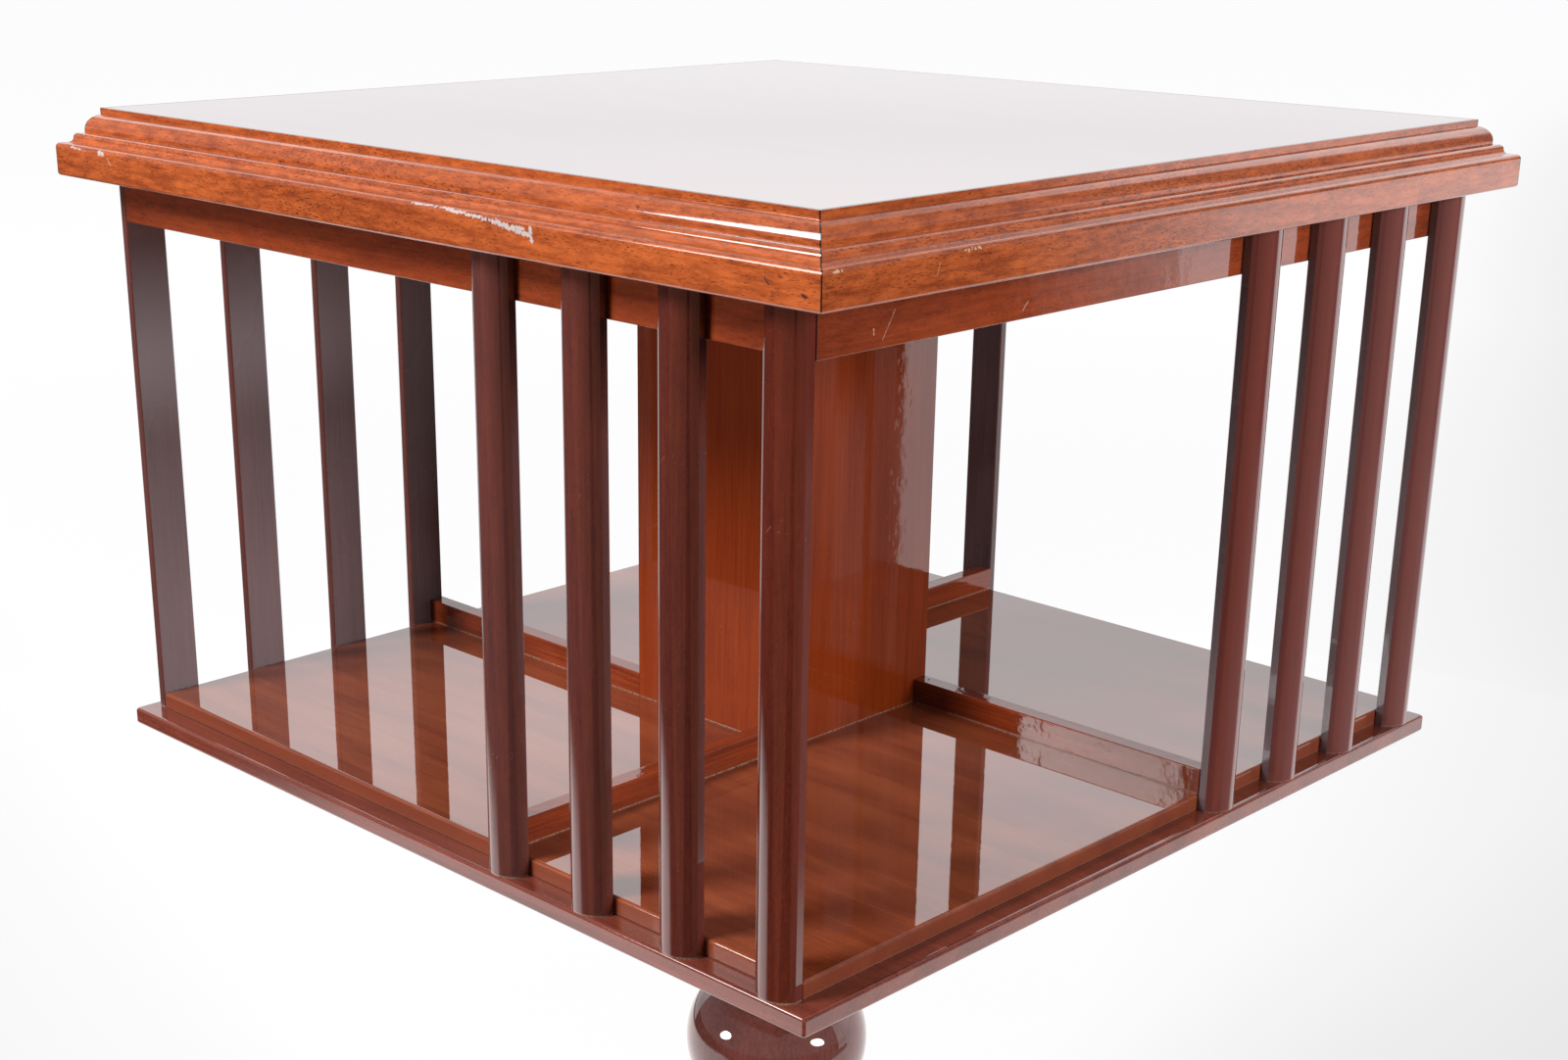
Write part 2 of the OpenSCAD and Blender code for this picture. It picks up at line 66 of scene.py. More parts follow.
def add(tree, kind, wires, **settings):
    """A node with its settings, and each input wired to an output socket or set to a value."""
    node = tree.nodes.new(kind)
    for name, value in settings.items():
        setattr(node, name, value)
    for name, value in wires.items():
        if isinstance(value, bpy.types.NodeSocket):
            tree.links.new(value, node.inputs[name])
        else:
            node.inputs[name].default_value = value
    return node


def stretched(tree, vector, across, along):
    """The vector scaled so that a pattern is long in the grain's direction, X."""
    return add(tree, "ShaderNodeVectorMath", {0: vector, 1: (along, across, across)}, operation="MULTIPLY").outputs[0]


def ramp(tree, value, low, high, to_low=0.0, to_high=1.0, smooth=True):
    """The value mapped from low..high to the new limits."""
    return add(
        tree, "ShaderNodeMapRange",
        {"Value": value, "From Min": low, "From Max": high, "To Min": to_low, "To Max": to_high},
        interpolation_type="SMOOTHSTEP" if smooth else "LINEAR",
    ).outputs[0]


def maths(tree, operation, a, b=0.0, c=0.0):
    return add(tree, "ShaderNodeMath", {0: a, 1: b, 2: c}, operation=operation).outputs[0]


def times(tree, a, b):
    return maths(tree, "MULTIPLY", a, b)


def fade(tree, value, low, high):
    """One below low, falling smoothly to nothing at high."""
    return ramp(tree, value, low, high, 1.0, 0.0)


def noise(tree, vector, scale=1.0, detail=2.0, roughness=0.5):
    """Noise whose scale counts its patches in a metre."""
    return add(tree, "ShaderNodeTexNoise", {"Vector": vector, "Scale": scale, "Detail": detail,
                                            "Roughness": roughness}).outputs["Fac"]


def mixed(tree, amount, a, b):
    return add(tree, "ShaderNodeMix", {0: amount, 6: a, 7: b}, data_type="RGBA").outputs[2]


def object_place(tree):
    return add(tree, "ShaderNodeTexCoord", {}).outputs["Object"]


def object_axes(tree):
    """The X, Y and Z of a point in its object's own coordinates."""
    return add(tree, "ShaderNodeSeparateXYZ", {0: object_place(tree)}).outputs


def new_material(name):
    """A new material, its node tree and its shader."""
    material = bpy.data.materials.new(name)
    material.use_nodes = True
    return material, material.node_tree, material.node_tree.nodes["Principled BSDF"]


def overlay(material, amount, tint):
    """Lays a tint over the material's colour, as far as the mask says."""
    tree = material.node_tree
    colour = tree.nodes["Principled BSDF"].inputs["Base Color"]
    tree.links.new(mixed(tree, amount, colour.links[0].from_socket, tint), colour)


def mahogany_grain():
    """Colour of mahogany with the grain along X: a mottled figure, fibres, and short dark pores."""
    tree, given, out = shader_group(
        "Mahogany grain",
        {"Vector": ("Vector", None), "Dark": ("Color", (0.1, 0.02, 0.01, 1)),
         "Light": ("Color", (0.3, 0.08, 0.02, 1)), "Pore": ("Color", (0.03, 0.008, 0.005, 1)),
         "Figure": ("Float", 0.5), "Mottle": ("Float", 0.0), "Pore Amount": ("Float", 0.6)},
        {"Color": "Color", "Pores": "Float"},
    )
    vector = given.outputs["Vector"]
    sway = add(tree, "ShaderNodeTexNoise", {"Vector": stretched(tree, vector, 9, 3), "Scale": 1.0, "Detail": 2.0})
    bent = add(tree, "ShaderNodeVectorMath", {0: sway.outputs["Color"], 1: (0.02, 0.012, 0.012), 2: vector},
               operation="MULTIPLY_ADD").outputs[0]
    figure = noise(tree, stretched(tree, bent, 55, 7), detail=4.0, roughness=0.6)
    lines = noise(tree, stretched(tree, bent, 700, 14), detail=3.0, roughness=0.65)
    blotches = noise(tree, stretched(tree, bent, 330, 75), detail=4.0, roughness=0.75)
    fibre = add(tree, "ShaderNodeMix", {0: given.outputs["Mottle"], 2: lines, 3: blotches}).outputs[0]
    share = given.outputs["Figure"]
    tone = maths(tree, "ADD", times(tree, ramp(tree, figure, 0.32, 0.68), share),
                 times(tree, ramp(tree, fibre, 0.3, 0.7), maths(tree, "SUBTRACT", 1.0, share)))
    base = mixed(tree, tone, given.outputs["Dark"], given.outputs["Light"])
    dashes = noise(tree, stretched(tree, bent, 3000, 420), detail=1.0)
    level = ramp(tree, noise(tree, stretched(tree, vector, 40, 9)), 0.35, 0.65, 0.62, 0.54)
    deep = ramp(tree, maths(tree, "SUBTRACT", dashes, level), 0.0, 0.12)
    pores = times(tree, deep, given.outputs["Pore Amount"])
    tree.links.new(mixed(tree, pores, base, given.outputs["Pore"]), out.inputs["Color"])
    tree.links.new(pores, out.inputs["Pores"])
    return tree


def polish_wear():
    """Wear of the polish: rubbed and dull patches, fine scratches, and the ripple of old lacquer."""
    tree, given, out = shader_group(
        "Polish wear",
        {"Vector": ("Vector", None), "Scratches": ("Float", 0.3), "Ripple": ("Float", 1.0)},
        {"Scratch": "Float", "Dull": "Float", "Ripple": "Float"},
    )
    vector = given.outputs["Vector"]
    turned = add(tree, "ShaderNodeMapping", {"Vector": vector, "Rotation": (0.4, 0.7, 0.5)}).outputs[0]
    lines = noise(tree, stretched(tree, turned, 1300, 40), detail=0.0)
    where = noise(tree, vector, scale=24.0, detail=1.0)
    scratch = times(tree, ramp(tree, lines, 0.78, 0.86), ramp(tree, where, 0.6, 0.7))
    cloud = noise(tree, vector, scale=11.0, detail=4.0)
    peel = noise(tree, vector, scale=130.0)
    tree.links.new(times(tree, scratch, given.outputs["Scratches"]), out.inputs["Scratch"])
    tree.links.new(ramp(tree, cloud, 0.35, 0.75), out.inputs["Dull"])
    tree.links.new(times(tree, peel, given.outputs["Ripple"]), out.inputs["Ripple"])
    return tree


def joint_dust():
    """Pale dust and wax left in a joint: a thin broken line just above a level."""
    tree, given, out = shader_group(
        "Joint dust",
        {"Vector": ("Vector", None), "Distance": ("Float", 0.0), "Reach": ("Float", 0.001),
         "Amount": ("Float", 0.5)},
        {"Mask": "Float"},
    )
    crumbs = noise(tree, given.outputs["Vector"], scale=900.0)
    gone = maths(tree, "DIVIDE", given.outputs["Distance"], given.outputs["Reach"])
    near = maths(tree, "SUBTRACT", 1.0, gone)
    broken = times(tree, ramp(tree, near, 0.0, 0.7), ramp(tree, crumbs, 0.35, 0.6, 0.35, 1.0))
    tree.links.new(times(tree, broken, given.outputs["Amount"]), out.inputs["Mask"])
    return tree


def dot(tree, a, b):
    return add(tree, "ShaderNodeVectorMath", {0: a, 1: b}, operation="DOT_PRODUCT").outputs["Value"]


def mark_on_polish():
    """A chip, scratch or stain along a line from one point to another, with a ragged edge."""
    tree, given, out = shader_group(
        "Mark",
        {"Vector": ("Vector", None), "From": ("Vector", None), "To": ("Vector", None),
         "Width": ("Float", 0.001), "Raggedness": ("Float", 0.6)},
        {"Mask": "Float"},
    )
    vector = given.outputs["Vector"]
    line, off = (
        add(tree, "ShaderNodeVectorMath", {0: end, 1: given.outputs["From"]}, operation="SUBTRACT").outputs[0]
        for end in (given.outputs["To"], vector)
    )
    along, length = dot(tree, off, line), dot(tree, line, line)
    share = add(tree, "ShaderNodeMath", {0: along, 1: length}, operation="DIVIDE", use_clamp=True).outputs[0]
    foot = add(tree, "ShaderNodeVectorMath", {0: line, 3: share}, operation="SCALE").outputs[0]
    away = add(tree, "ShaderNodeVectorMath", {0: off, 1: foot}, operation="DISTANCE").outputs["Value"]
    crumbs = noise(tree, vector, scale=700.0)
    ragged = times(tree, maths(tree, "SUBTRACT", crumbs, 0.5), times(tree, given.outputs["Raggedness"], 3.0))
    reach = maths(tree, "ADD", maths(tree, "DIVIDE", away, given.outputs["Width"]), ragged)
    tree.links.new(fade(tree, reach, 0.3, 0.6), out.inputs["Mask"])
    return tree


def mitre_line():
    """The thin dark glue line where two lengths meet in a mitre at a corner of the case."""
    tree, given, out = shader_group(
        "Mitre line", {"Vector": ("Vector", None), "Width": ("Float", 0.0006)}, {"Mask": "Float"})
    axes = add(tree, "ShaderNodeSeparateXYZ", {0: given.outputs["Vector"]})
    apart = maths(tree, "ABSOLUTE", maths(tree, "SUBTRACT", maths(tree, "ABSOLUTE", axes.outputs["X"]),
                                          maths(tree, "ABSOLUTE", axes.outputs["Y"])))
    tree.links.new(fade(tree, maths(tree, "DIVIDE", apart, given.outputs["Width"]), 0.4, 1.0), out.inputs["Mask"])
    return tree


GRAIN, WEAR, DUST, MARK, MITRE = mahogany_grain(), polish_wear(), joint_dust(), mark_on_polish(), mitre_line()
DUST_COLOUR = (0.36, 0.26, 0.19, 1)
GLUE_LINE = (0.02, 0.006, 0.004, 1)
GRAIN_TURNS = {"X": (0, 0, 0), "Y": (0, 0, math.pi / 2), "Z": (0, math.pi / 2, 0)}
RUBBED, CLOUDED = 0.6, 1.5      # the polish's roughness where it is rubbed and where it is dull
SCRATCH_BASE, SCRATCH_GAIN = 0.12, 1.5      # how much paler than the wood a scratch is
STAIN_EDGE = 0.0008      # height over which a stained edge fades out
STAIN_COVER = 0.6        # share of the wood's colour that the stain takes
STAIN_DULL, MARK_DULL, DUST_DULL = 0.35, 0.4, 0.6      # roughness that each adds to the polish
STAIN_COAT = 0.8         # share of the lacquer that a stained edge lacks
PORE_RELIEF = 0.03       # how much the pores show through the lacquer
RELIEF_DEPTH = 0.00006
RELIEF_STRENGTH = 0.25
LACQUER_IOR = 1.5


def mahogany(name, dark, light, pore, along="X", figure=0.5, mottle=0.0, pores=0.6, scratches=0.3, ripple=1.0,
             dull=0.035, coat=1.0, coat_dull=0.015, dust_from=None, stained_below=None, mitred=False, marks=()):
    """French polished mahogany whose grain runs along one axis, with dust just above the height dust_from.

    Below stained_below it is stained darker. Each mark is its two ends, its width, raggedness and colour.
    """
    material, tree, shader = new_material(name)
    place = object_place(tree)
    along_grain = add(tree, "ShaderNodeMapping", {"Vector": place, "Rotation": GRAIN_TURNS[along]},
                      vector_type="TEXTURE").outputs[0]
    grain = add(tree, "ShaderNodeGroup", {
        "Vector": along_grain, "Dark": (*dark, 1), "Light": (*light, 1), "Pore": (*pore, 1),
        "Figure": figure, "Mottle": mottle, "Pore Amount": pores}, node_tree=GRAIN)
    wear = add(tree, "ShaderNodeGroup", {"Vector": place, "Scratches": scratches, "Ripple": ripple}, node_tree=WEAR)
    scratch_colour = tuple(min(1.0, SCRATCH_BASE + SCRATCH_GAIN * c) for c in light)
    colour = mixed(tree, wear.outputs["Scratch"], grain.outputs["Color"], (*scratch_colour, 1))
    roughness = ramp(tree, wear.outputs["Dull"], 0.0, 1.0, dull * RUBBED, dull * CLOUDED, smooth=False)
    height = add(tree, "ShaderNodeSeparateXYZ", {0: place}).outputs["Z"]
    if stained_below is not None:
        stain = fade(tree, height, stained_below - STAIN_EDGE, stained_below)
        colour = mixed(tree, times(tree, stain, STAIN_COVER), colour, (*dark, 1))
        roughness = maths(tree, "MULTIPLY_ADD", stain, STAIN_DULL, roughness)
    if mitred:
        glue = add(tree, "ShaderNodeGroup", {"Vector": place}, node_tree=MITRE).outputs["Mask"]
        colour = mixed(tree, glue, colour, GLUE_LINE)
    for start, end, width, raggedness, tint in marks:
        mark = add(tree, "ShaderNodeGroup", {"Vector": place, "From": start, "To": end, "Width": width,
                                             "Raggedness": raggedness}, node_tree=MARK).outputs["Mask"]
        colour = mixed(tree, mark, colour, (*tint, 1))
        roughness = maths(tree, "MULTIPLY_ADD", mark, MARK_DULL, roughness)
    if dust_from is not None:
        above = maths(tree, "SUBTRACT", height, dust_from)
        dust = add(tree, "ShaderNodeGroup", {"Vector": place, "Distance": above}, node_tree=DUST).outputs["Mask"]
        colour = mixed(tree, dust, colour, DUST_COLOUR)
        roughness = maths(tree, "MULTIPLY_ADD", dust, DUST_DULL, roughness)
    relief = maths(tree, "SUBTRACT", wear.outputs["Ripple"], times(tree, grain.outputs["Pores"], PORE_RELIEF))
    bump = add(tree, "ShaderNodeBump", {"Height": relief, "Strength": RELIEF_STRENGTH, "Distance": RELIEF_DEPTH})
    tree.links.new(colour, shader.inputs["Base Color"])
    tree.links.new(roughness, shader.inputs["Roughness"])
    tree.links.new(bump.outputs[0], shader.inputs["Normal"])
    shader.inputs["IOR"].default_value = LACQUER_IOR
    shader.inputs["Coat Weight"].default_value = coat
    if stained_below is not None:
        tree.links.new(maths(tree, "MULTIPLY_ADD", stain, -STAIN_COAT * coat, coat), shader.inputs["Coat Weight"])
    shader.inputs["Coat Roughness"].default_value = coat_dull
    return material


SHARP_ANGLE = math.radians(28)
BEVEL_ANGLE = math.radians(32)
MERGE_DISTANCE = 0.00001


def arris_tree():
    """Geometry nodes that join a CAD mesh's loose triangles and keep only its real edges sharp."""
    tree = bpy.data.node_groups.new("Joined faces", "GeometryNodeTree")
    tree.interface.new_socket("Geometry", in_out="INPUT", socket_type="NodeSocketGeometry")
    sharp = tree.interface.new_socket("Sharp Angle", in_out="INPUT", socket_type="NodeSocketFloat")
    sharp.default_value = SHARP_ANGLE
    tree.interface.new_socket("Geometry", in_out="OUTPUT", socket_type="NodeSocketGeometry")
    given, out = tree.nodes.new("NodeGroupInput"), tree.nodes.new("NodeGroupOutput")
    plain = add(tree, "GeometryNodeRemoveAttribute", {"Geometry": given.outputs["Geometry"],
                                                      "Name": "custom_normal"})
    merged = add(tree, "GeometryNodeMergeByDistance", {"Geometry": plain.outputs[0], "Distance": MERGE_DISTANCE})
    smooth = add(tree, "GeometryNodeSetShadeSmooth", {"Geometry": merged.outputs[0], "Shade Smooth": True})
    angle = add(tree, "GeometryNodeInputMeshEdgeAngle", {})
    real = add(tree, "FunctionNodeCompare", {0: angle.outputs[0], 1: given.outputs["Sharp Angle"]},
               data_type="FLOAT", operation="GREATER_THAN")
    edged = add(tree, "GeometryNodeSetShadeSmooth", {"Geometry": smooth.outputs[0], "Selection": real.outputs[0],
                                                     "Shade Smooth": False}, domain="EDGE")
    tree.links.new(edged.outputs[0], out.inputs[0])
    return tree


ARRIS = arris_tree()


def dress(name, material, soften=0.0004, segments=2, flat=True):
    """Gives a CAD node its finish, joins its faces, and takes the sharpness off its arrises."""
    node = nodes[name]
    node.data.materials.clear()
    node.data.materials.append(material)
    joined = node.modifiers.new("Joined faces", "NODES")
    joined.node_group = ARRIS
    if soften:
        bevel = node.modifiers.new("Softened arrises", "BEVEL")
        bevel.width = soften
        bevel.segments = segments
        bevel.limit_method = "ANGLE"
        bevel.angle_limit = BEVEL_ANGLE
    if flat:
        level = node.modifiers.new("Flat faces kept flat", "WEIGHTED_NORMAL")
        level.weight = 50
        level.keep_sharp = True
    return node


TURNED = mahogany("Mahogany, turned and stained dark", dark=(0.065, 0.018, 0.015),
                  light=(0.135, 0.038, 0.029), pore=(0.015, 0.004, 0.003), along="Z", figure=0.4, pores=0.5,
                  scratches=0.2)
dress("pedestal_stem", TURNED, soften=0.0005, flat=False)


# Legs
# Four down-swept legs of solid mahogany, sawn, shaped and dovetailed into the block of the stem.
for corner in CORNERS:
    dress("leg_" + corner, TURNED, soften=0.0012, segments=3, flat=False)


# Strap plate and its screws
# A flat steel cross screwed under the block, which keeps the dovetails of the legs from dropping out.
METAL_DULLED = 0.2      # roughness that the tarnish adds
METAL_SCUFFED = 0.08      # roughness that the fine rubbing adds


def metal(name, colour, tarnish, roughness):
    """Plain metal, darkened in patches and rubbed a little brighter in others."""
    material, tree, shader = new_material(name)
    place = object_place(tree)
    tarnished = ramp(tree, noise(tree, place, scale=160.0, detail=5.0, roughness=0.65), 0.42, 0.72)
    rubbing = noise(tree, stretched(tree, place, 1400, 90))
    dulled = ramp(tree, tarnished, 0, 1, roughness, roughness + METAL_DULLED)
    bump = add(tree, "ShaderNodeBump", {"Height": rubbing, "Strength": 0.2, "Distance": 0.00005})
    tree.links.new(mixed(tree, tarnished, (*colour, 1), (*tarnish, 1)), shader.inputs["Base Color"])
    tree.links.new(maths(tree, "MULTIPLY_ADD", rubbing, METAL_SCUFFED, dulled), shader.inputs["Roughness"])
    tree.links.new(bump.outputs[0], shader.inputs["Normal"])
    shader.inputs["Metallic"].default_value = 1.0
    return material


STEEL = metal("Steel, dulled", colour=(0.36, 0.36, 0.37), tarnish=(0.12, 0.09, 0.07), roughness=0.34)
BRASS = metal("Brass, aged", colour=(0.60, 0.41, 0.15), tarnish=(0.40, 0.26, 0.09), roughness=0.24)
dress("strap_plate", STEEL, soften=0.0003)
dress("strap_screws", STEEL, soften=0.0)


# Toe cups and castors
# A cast brass cup covers each toe, and under it a forked horn swivels with a solid brass wheel.
dress("toe_cups", BRASS, soften=0.0005, segments=3, flat=False)
for corner in CORNERS:
    dress("castor_horn_" + corner, BRASS, soften=0.0003, flat=False)
    dress("castor_wheel_" + corner, BRASS, soften=0.0002, flat=False)


# Spindle and thrust washer
# The steel spindle is driven into the stem, and the case rides on the greased brass washer round it.
dress("spindle", STEEL, soften=0.0, flat=False)
dress("thrust_washer", BRASS, soften=0.0002)


# Pivot of the case
# A brass plate is screwed under the base board, and a brass bush sits in the block in the column's head.
PLAIN_WOOD = mahogany("Mahogany, unpolished", dark=(0.12, 0.035, 0.018), light=(0.24, 0.085, 0.04),
                      pore=(0.05, 0.015, 0.01), along="X", dull=0.5, coat=0.0, ripple=0.3)
for name in ("upper_pivot_block", "lower_pivot_block"):
    dress(name, PLAIN_WOOD)
dress("upper_bush", BRASS, soften=0.0003)
dress("pivot_plate", BRASS, soften=0.0003)
dress("pivot_plate_screws", BRASS, soften=0.0)


# Base board and shelf panel
# A thin board with rounded edges, and glued on it the veneered panel that the books stand on.
base_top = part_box("base_board")[1].z
shelf_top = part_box("shelf_panel")[1].z
BASE = mahogany("Mahogany, base board", dark=(0.10, 0.020, 0.013), light=(0.23, 0.052, 0.030),
                pore=(0.03, 0.008, 0.005), along="X", figure=0.55, pores=0.5)
PANEL = mahogany("Mahogany, veneered shelf", dark=(0.135, 0.029, 0.014), light=(0.26, 0.064, 0.024),
                 pore=(0.04, 0.010, 0.004), along="X", figure=0.65, pores=0.25, dull=0.02, dust_from=base_top,
                 stained_below=shelf_top - STAIN_EDGE)
dress("base_board", BASE, soften=0.0010, segments=3)
dress("shelf_panel", PANEL, soften=0.0007)


# Column
# Four boards mitred along their edges into a square box that joins the base to the top.
COLUMN = mahogany("Mahogany, column boards", dark=(0.145, 0.018, 0.003), light=(0.22, 0.033, 0.005),
                  pore=(0.07, 0.012, 0.005), along="Z", figure=0.4, pores=0.35, dull=0.025, ripple=2.5,
                  dust_from=shelf_top)
for side in SIDES:
    dress("column_board_" + side, COLUMN)


# Divider rails
# A low rail on the shelf from the column out to the innermost slat keeps each row of books in its place.
RAIL_TONES = dict(dark=(0.085, 0.012, 0.004), light=(0.25, 0.040, 0.010), pore=(0.04, 0.010, 0.005),
                  figure=0.5, pores=0.4, ripple=17.0, coat=0.3, dull=0.09, dust_from=shelf_top)
RAIL_WOOD = {along: mahogany("Mahogany, divider rails along " + along, along=along, **RAIL_TONES)
             for along in "XY"}
for side, along in zip(SIDES, "YXYX"):
    dress("divider_rail_" + side, RAIL_WOOD[along], soften=0.0003)


# Slats
# Sixteen D-shaped slats, four to a side, stained darker than the case. They are glued between the
# base board and the moulded edge, flat backs against the shelf panel and the frieze rail.
SLAT_COUNT = 4
slat_low, slat_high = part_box("slat_front_1")
slat_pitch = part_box("slat_front_2")[0].x - slat_low.x
slat_middle = (slat_low.x + slat_high.x) / 2
slat_half = (slat_high.x - slat_low.x) / 2
slat_back = -slat_high.y
slat_depth = slat_high.y - slat_low.y
SLAT_SIDE = 0.0042      # flat side of a slat, up to where its round face starts
SLAT_ARRIS = 0.0005
SLAT_STEPS = 24      # facets round the face


def slat_mesh():
    """One slat, round face forwards, with softened arrises and its back on y = 0."""
    rise = slat_depth - SLAT_SIDE
    radius = (slat_half ** 2 + rise ** 2) / (2 * rise)
    reach = math.asin(slat_half / radius)
    outline = [(-slat_half + SLAT_ARRIS, 0.0), (-slat_half, -SLAT_ARRIS), (-slat_half, -SLAT_SIDE)]
    for k in range(1, SLAT_STEPS):
        t = -reach + 2 * reach * k / SLAT_STEPS
        outline.append((radius * math.sin(t), -(SLAT_SIDE + rise - radius + radius * math.cos(t))))
    outline += [(slat_half, -SLAT_SIDE), (slat_half, -SLAT_ARRIS), (slat_half - SLAT_ARRIS, 0.0)]
    mesh = bpy.data.meshes.new("slat")
    shape = bmesh.new()
    rings = [[shape.verts.new((x, y, z)) for x, y in outline] for z in (slat_low.z, slat_high.z)]
    count = len(outline)
    dull_face = shape.faces.layers.int.new("dull_face")
    for k in range(count):
        n = (k + 1) % count
        face = shape.faces.new((rings[0][k], rings[0][n], rings[1][n], rings[1][k]))
        face.smooth = 2 <= k < count - 3
        face[dull_face] = int(k in (0, 1, count - 1))
    shape.faces.new(rings[0][::-1])
    shape.faces.new(rings[1])
    for edge in shape.edges:
        edge.smooth = all(face.smooth for face in edge.link_faces)
    bmesh.ops.recalc_face_normals(shape, faces=shape.faces)
    shape.to_mesh(mesh)
    shape.free()
    return mesh


def row_on_four_sides():
    """Geometry nodes that set a row of one piece on each of the four sides, and give it its finish."""
    tree = bpy.data.node_groups.new("Row on four sides", "GeometryNodeTree")
    tree.interface.new_socket("Geometry", in_out="INPUT", socket_type="NodeSocketGeometry")
    for label, kind in (("Count", "Int"), ("First", "Float"), ("Pitch", "Float"), ("From Axis", "Float"),
                        ("Finish", "Material"), ("Back Finish", "Material")):
        tree.interface.new_socket(label, in_out="INPUT", socket_type="NodeSocket" + kind)
    tree.interface.new_socket("Geometry", in_out="OUTPUT", socket_type="NodeSocketGeometry")
    given, out = tree.nodes.new("NodeGroupInput"), tree.nodes.new("NodeGroupOutput")
    forwards = times(tree, given.outputs["From Axis"], -1.0)
    start = add(tree, "ShaderNodeCombineXYZ", {"X": given.outputs["First"], "Y": forwards})
    step = add(tree, "ShaderNodeCombineXYZ", {"X": given.outputs["Pitch"]})
    line = add(tree, "GeometryNodeMeshLine", {"Count": given.outputs["Count"], "Start Location": start.outputs[0],
                                              "Offset": step.outputs[0]}, mode="OFFSET")
    row = add(tree, "GeometryNodeInstanceOnPoints", {"Points": line.outputs[0],
                                                     "Instance": given.outputs["Geometry"]})
    middle = add(tree, "GeometryNodeMeshLine", {"Count": 4, "Offset": (0, 0, 0)}, mode="OFFSET")
    index = add(tree, "GeometryNodeInputIndex", {})
    angle = add(tree, "ShaderNodeCombineXYZ", {"Z": times(tree, index.outputs[0], math.pi / 2)})
    spin = add(tree, "FunctionNodeEulerToRotation", {0: angle.outputs[0]})
    four = add(tree, "GeometryNodeInstanceOnPoints", {"Points": middle.outputs[0], "Instance": row.outputs[0],
                                                      "Rotation": spin.outputs[0]})
    real = add(tree, "GeometryNodeRealizeInstances", {"Geometry": four.outputs[0]})
    back = add(tree, "GeometryNodeInputNamedAttribute", {"Name": "dull_face"}, data_type="INT")
    faced = add(tree, "GeometryNodeSetMaterial", {"Geometry": real.outputs[0],
                                                  "Material": given.outputs["Finish"]})
    done = add(tree, "GeometryNodeSetMaterial", {"Geometry": faced.outputs[0], "Selection": back.outputs[0],
                                                 "Material": given.outputs["Back Finish"]})
    tree.links.new(done.outputs[0], out.inputs[0])
    return tree


def grown(name, mesh, tree, values):
    """A new object whose mesh is what the geometry nodes make of the given one."""
    seed = bpy.data.objects.new(name + "_seed", mesh)
    bpy.context.scene.collection.objects.link(seed)
    grower = seed.modifiers.new("Grower", "NODES")
    grower.node_group = tree
    for item in tree.interface.items_tree:
        if item.in_out == "INPUT" and item.name in values:
            grower[item.identifier] = values[item.name]
    evaluated = seed.evaluated_get(bpy.context.evaluated_depsgraph_get())
    made = bpy.data.objects.new(name, bpy.data.meshes.new_from_object(evaluated))
    made.data.name = name
    bpy.data.objects.remove(seed)
    bpy.context.scene.collection.objects.link(made)
    return made


SLAT_MARKS = [
    ((0.2264, -0.2395, 0.5990), (0.2272, -0.2393, 0.5990), 0.0013, 0.4, (0.62, 0.42, 0.16)),
    ((0.2190, -0.2391, 0.5327), (0.2225, -0.2395, 0.5262), 0.0005, 0.5, (0.35, 0.20, 0.12)),
    ((0.2218, -0.2394, 0.5200), (0.2226, -0.2395, 0.5180), 0.0007, 0.5, (0.40, 0.22, 0.12)),
]
SLAT_WOOD = mahogany("Mahogany, slats", dark=(0.045, 0.007, 0.0045), light=(0.108, 0.017, 0.008),
                     pore=(0.02, 0.005, 0.004), along="Z", figure=0.35, mottle=0.5, pores=0.4, dull=0.03,
                     scratches=0.4, ripple=2.0, dust_from=base_top, marks=SLAT_MARKS)
SLAT_BACK = mahogany("Mahogany, flat backs of the slats", dark=(0.06, 0.028, 0.027), light=(0.11, 0.055, 0.055),
                     pore=(0.03, 0.015, 0.015), along="Z", figure=0.35, pores=0.3, dull=0.3, coat=0.4)
# Tints painted over the slats' colour as painted light: a grey sheen, and a redder right side
PAINTED_SHEEN_GREY = (0.62, 0.56, 0.60, 1)
PAINTED_REDDER_LIGHT = (0.150, 0.022, 0.013, 1)

# A grey sheen is painted on the flat backs as a painted reflection: strongest under the top of the left side, and
# faint on the right side's backs
tree = SLAT_BACK.node_tree
axes = object_axes(tree)
painted_sheen_on_backs = times(tree, fade(tree, axes["X"], -0.2275, -0.224),
             ramp(tree, axes["Y"], -0.22, -0.06, 0.18, 0.10, smooth=False))
painted_sheen_on_backs = times(tree, painted_sheen_on_backs, ramp(tree, axes["Z"], 0.60, 0.66, 0.95, 3.4))
painted_sheen_on_backs = maths(tree, "ADD", painted_sheen_on_backs, ramp(tree, axes["X"], 0.224, 0.2275, 0.0, 0.20))
overlay(SLAT_BACK, painted_sheen_on_backs, PAINTED_SHEEN_GREY)

# The faces have a faint grey sheen painted towards the middle of a side, a painted reflection, and those of the right
# side are painted redder, as painted light
tree = SLAT_WOOD.node_tree
axes = object_axes(tree)
right_side = ramp(tree, axes["X"], 0.226, 0.230)
painted_sheen_on_faces = ramp(tree, maths(tree, "ABSOLUTE", axes["X"]), 0.02, 0.20, 0.035, 0.0, smooth=False)
painted_sheen_on_faces = maths(tree, "ADD", painted_sheen_on_faces, times(tree, right_side, ramp(tree, axes["Y"], -0.05, 0.22, 0.012, 0.06)))
painted_sheen_on_faces = maths(tree, "ADD", painted_sheen_on_faces, ramp(tree, axes["X"], -0.230, -0.226, 0.04, 0.0))
overlay(SLAT_WOOD, times(tree, right_side, 0.6), PAINTED_REDDER_LIGHT)
overlay(SLAT_WOOD, painted_sheen_on_faces, PAINTED_SHEEN_GREY)
